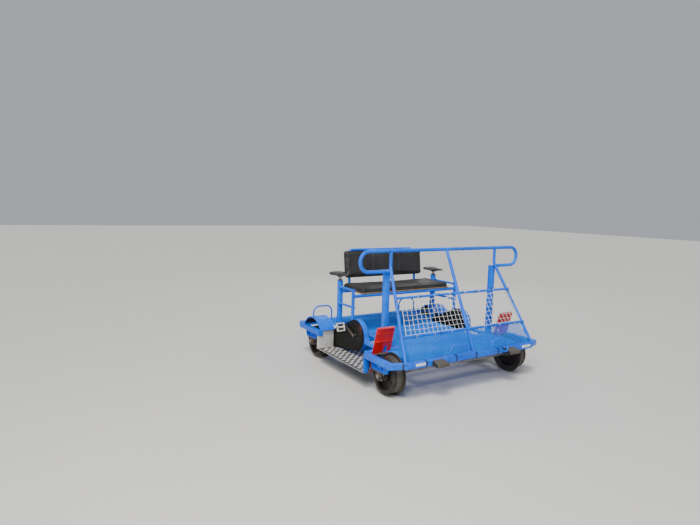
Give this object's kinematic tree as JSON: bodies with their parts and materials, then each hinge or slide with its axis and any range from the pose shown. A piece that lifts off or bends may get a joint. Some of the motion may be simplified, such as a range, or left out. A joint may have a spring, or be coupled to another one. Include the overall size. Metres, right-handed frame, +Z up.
{
  "type": "pedal railway handcar",
  "caption": "Pedal railway handcar: a flat deck on flanged wheels with foot wells, side saddles, a padded bench, foot brakes, and a full-width handlebar over a netted front.",
  "frame": {"origin": "middle of the bounding box in plan, at the lowest point of the wheel flanges; the rail top is 25 mm above it", "axes": "+X is the direction of travel, towards the handlebar and buffers; +Y is left; +Z is up"},
  "size_m": [1.836, 1.908, 1.222],
  "materials": {
    "blue_paint": "semi-gloss, worn and dusty",
    "blue_mesh": "matt, worn",
    "aluminium": "bare, scuffed",
    "dark_steel": "dull, rusty",
    "wheel_steel": "painted dark, treads worn bright and dusty",
    "black_cover": "satin with rust streaks",
    "red_paint": "semi-gloss, chipped",
    "black_vinyl": "satin",
    "plywood": "matt",
    "rubber": "matt, dusty",
    "net_rope": "matt",
    "pedal_plastic": "satin",
    "bare_steel": "machined, dull"
  },
  "bodies": {
    "chassis": {"front_bumper": "blue_paint", "rear_beam": "blue_paint", "side_rails": "blue_paint", "inner_beams": "blue_paint", "cross_members": "blue_paint", "wheel_bay_beams": "blue_paint", "deck_mesh": "blue_mesh", "step_floors": "aluminium", "step_walls": "blue_paint", "front_posts": "blue_paint", "handlebar": "blue_paint", "front_struts": "blue_paint", "grip_loops": "blue_paint", "net_bars": "blue_paint", "front_net": "net_rope", "front_mesh_panel": "blue_mesh", "buffers": "rubber", "front_handles": "blue_paint", "rear_handles": "blue_paint", "bearing_brackets": "blue_paint", "axle_bearings": "dark_steel", "rear_wheel_guards": "blue_paint", "chain_case_rims": "blue_paint", "chain_case_covers": "black_cover", "bottom_brackets": "bare_steel", "saddle_uprights": "blue_paint", "bench_front_legs": "blue_paint", "bench_side_bars": "blue_paint", "bench_cross_bars": "blue_paint", "backrest_frame": "blue_paint", "bench_board": "plywood", "bench_cushion": "black_vinyl", "backrest_cushion": "black_vinyl", "saddle_stems": "bare_steel", "saddles": "black_vinyl"},
    "front_wheelset": {"front_wheel_flanges": "wheel_steel", "front_wheel_treads": "wheel_steel", "front_wheel_hubs": "wheel_steel", "front_axle": "bare_steel"},
    "rear_wheelset": {"rear_wheel_flanges": "wheel_steel", "rear_wheel_treads": "wheel_steel", "rear_wheel_hubs": "wheel_steel", "rear_axle": "bare_steel"},
    "right_crank": {"crank_right": "bare_steel"},
    "left_crank": {"crank_left": "bare_steel"},
    "right_outer_pedal": {"pedal_outer_right": "pedal_plastic"},
    "right_inner_pedal": {"pedal_inner_right": "pedal_plastic"},
    "left_outer_pedal": {"pedal_outer_left": "pedal_plastic"},
    "left_inner_pedal": {"pedal_inner_left": "pedal_plastic"},
    "right_brake": {"brake_pedal_right": "red_paint", "brake_shoe_right": "dark_steel"},
    "left_brake": {"brake_pedal_left": "red_paint", "brake_shoe_left": "dark_steel"}
  },
  "joints": [
    {"name": "front_wheelset_turn", "type": "hinge", "parent": "chassis", "child": "front_wheelset", "pos_m": [0.582, 0, 0.18], "axis": [0, 1, 0], "continuous": true},
    {"name": "rear_wheelset_turn", "type": "hinge", "parent": "chassis", "child": "rear_wheelset", "pos_m": [-0.648, 0, 0.18], "axis": [0, 1, 0], "continuous": true},
    {"name": "right_crank_turn", "type": "hinge", "parent": "chassis", "child": "right_crank", "pos_m": [-0.053, -0.65, 0.359], "axis": [0, 1, 0], "continuous": true},
    {"name": "right_outer_pedal_turn", "type": "hinge", "parent": "right_crank", "child": "right_outer_pedal", "pos_m": [-0.19108, -0.756, 0.41761], "axis": [0, 1, 0], "continuous": true},
    {"name": "right_inner_pedal_turn", "type": "hinge", "parent": "right_crank", "child": "right_inner_pedal", "pos_m": [0.08508, -0.544, 0.30039], "axis": [0, 1, 0], "continuous": true},
    {"name": "right_brake_press", "type": "hinge", "parent": "chassis", "child": "right_brake", "pos_m": [0.448, -0.743, 0.321], "axis": [0, 1, 0], "range_deg": [0, 7], "stiffness_Nm_per_rad": 20, "springref_deg": -11.46},
    {"name": "left_crank_turn", "type": "hinge", "parent": "chassis", "child": "left_crank", "pos_m": [-0.053, 0.65, 0.359], "axis": [0, 1, 0], "continuous": true},
    {"name": "left_outer_pedal_turn", "type": "hinge", "parent": "left_crank", "child": "left_outer_pedal", "pos_m": [-0.19108, 0.756, 0.41761], "axis": [0, 1, 0], "continuous": true},
    {"name": "left_inner_pedal_turn", "type": "hinge", "parent": "left_crank", "child": "left_inner_pedal", "pos_m": [0.08508, 0.544, 0.30039], "axis": [0, 1, 0], "continuous": true},
    {"name": "left_brake_press", "type": "hinge", "parent": "chassis", "child": "left_brake", "pos_m": [0.448, 0.743, 0.321], "axis": [0, 1, 0], "range_deg": [0, 7], "stiffness_Nm_per_rad": 20, "springref_deg": -11.46}
  ]
}
